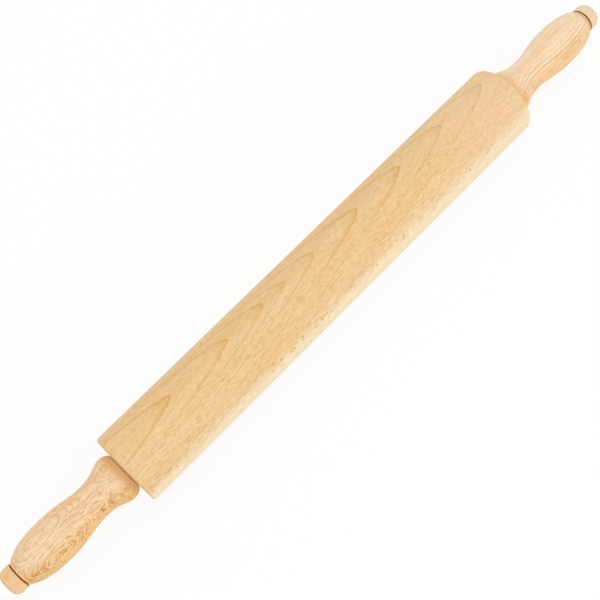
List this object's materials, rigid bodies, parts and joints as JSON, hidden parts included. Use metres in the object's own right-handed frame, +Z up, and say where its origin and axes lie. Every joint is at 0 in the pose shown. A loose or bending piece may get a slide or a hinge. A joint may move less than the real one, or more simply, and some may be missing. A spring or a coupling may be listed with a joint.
{
  "type": "rolling pin",
  "caption": "Turned beech rolling pin: a plain cylindrical roller with a revolving turned handle at each end, held on by a headed wooden axle peg.",
  "frame": {"origin": "on the surface the pin lies on, under the middle of the roller", "axes": "+X along the pin towards the right handle, +Z up, +Y across the pin"},
  "size_m": [0.634, 0.06, 0.06],
  "materials": {
    "roller_beech": "fine-sanded oiled beech, satin",
    "handle_beech": "fine-turned oiled beech, satin, slightly pinker than the roller",
    "peg_beech": "turned beech, grain along the peg, satin"
  },
  "bodies": {
    "roller_and_pegs": {"roller": "roller_beech", "left_axle_peg": "peg_beech", "right_axle_peg": "peg_beech"},
    "left_grip": {"left_handle": "handle_beech"},
    "right_grip": {"right_handle": "handle_beech"}
  },
  "joints": [
    {"name": "left_handle_spin", "type": "hinge", "parent": "roller_and_pegs", "child": "left_grip", "pos_m": [-0.2063, 0, 0.03], "axis": [1, 0, 0], "continuous": true},
    {"name": "right_handle_spin", "type": "hinge", "parent": "roller_and_pegs", "child": "right_grip", "pos_m": [0.2063, 0, 0.03], "axis": [1, 0, 0], "continuous": true}
  ]
}
